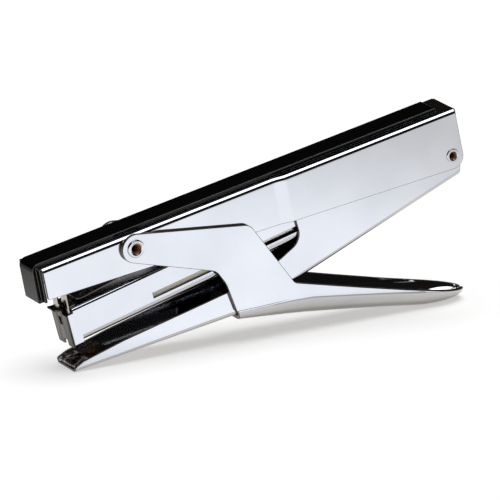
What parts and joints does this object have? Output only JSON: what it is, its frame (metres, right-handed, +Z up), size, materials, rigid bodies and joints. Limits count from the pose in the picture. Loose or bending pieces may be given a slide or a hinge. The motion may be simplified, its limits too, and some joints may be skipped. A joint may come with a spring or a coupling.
{
  "type": "plier stapler",
  "caption": "Chromed steel plier stapler, squeezed in the hand: pitched upper channel with a black top rail, swinging magazine and anvil arm, and a rounded squeeze lever.",
  "frame": {"origin": "on the surface it stands on, under the middle of its bounding box", "axes": "+Z up, +X from the stapling head back to the handles, +Y across the stapler"},
  "size_m": [0.1952, 0.0214, 0.0818],
  "materials": {
    "chrome": "bright chrome plate on pressed sheet steel",
    "nickel": "nickel plate, slightly dulled and warm",
    "bright_steel": "drawn bright steel",
    "spring_steel": "oiled spring steel",
    "black_plastic": "gloss black moulded plastic",
    "cream_plastic": "natural acetal, moulded"
  },
  "bodies": {
    "upper_handle": {"upper_channel": "chrome", "top_rail": "black_plastic", "driver_blade": "nickel", "driver_rivet": "bright_steel", "leaf_spring": "spring_steel", "leaf_spring_rivet": "bright_steel", "front_pivot_rivet": "nickel", "rear_pivot_rivet": "nickel", "opening_spring": "spring_steel"},
    "anvil_arm": {"anvil_arm": "chrome", "anvil_plate": "nickel", "anvil_base_plate": "nickel", "anvil_rivet": "nickel"},
    "magazine": {"magazine_shell": "chrome", "front_guide": "nickel", "staple_core": "bright_steel", "staple_strip": "bright_steel", "pusher_rod": "bright_steel", "rod_front_tab": "bright_steel", "rear_stop_block": "black_plastic", "stop_cross_pin": "bright_steel", "pusher_spring": "spring_steel"},
    "pusher": {"pusher": "cream_plastic"},
    "lever": {"squeeze_lever": "chrome"}
  },
  "joints": [
    {"name": "handle_squeeze", "type": "hinge", "parent": "upper_handle", "child": "lever", "pos_m": [-0.0549, 0, 0.047], "axis": [0, -1, 0], "range_deg": [0, 9.5], "stiffness_Nm_per_rad": 3, "springref_deg": -20.05},
    {"name": "anvil_swing", "type": "hinge", "parent": "upper_handle", "child": "anvil_arm", "pos_m": [0.0875, 0, 0.0626], "axis": [0, 1, 0], "range_deg": [0, 5.42], "deforming": ["opening_spring"]},
    {"name": "magazine_swing", "type": "hinge", "parent": "upper_handle", "child": "magazine", "pos_m": [0.0875, 0, 0.0626], "axis": [0, 1, 0], "range_deg": [0, 3.2], "deforming": ["leaf_spring"]},
    {"name": "pusher_slide", "type": "slide", "parent": "magazine", "child": "pusher", "axis": [0.9659, 0, 0.2588], "range_m": [0, 0.055], "stiffness_N_per_m": 25, "springref_m": -0.06, "deforming": ["pusher_spring"]}
  ],
  "couplings": [
    {"joint": "anvil_swing", "follows": "handle_squeeze", "ratio": 0.57},
    {"joint": "magazine_swing", "follows": "handle_squeeze", "ratio": 0.335}
  ]
}
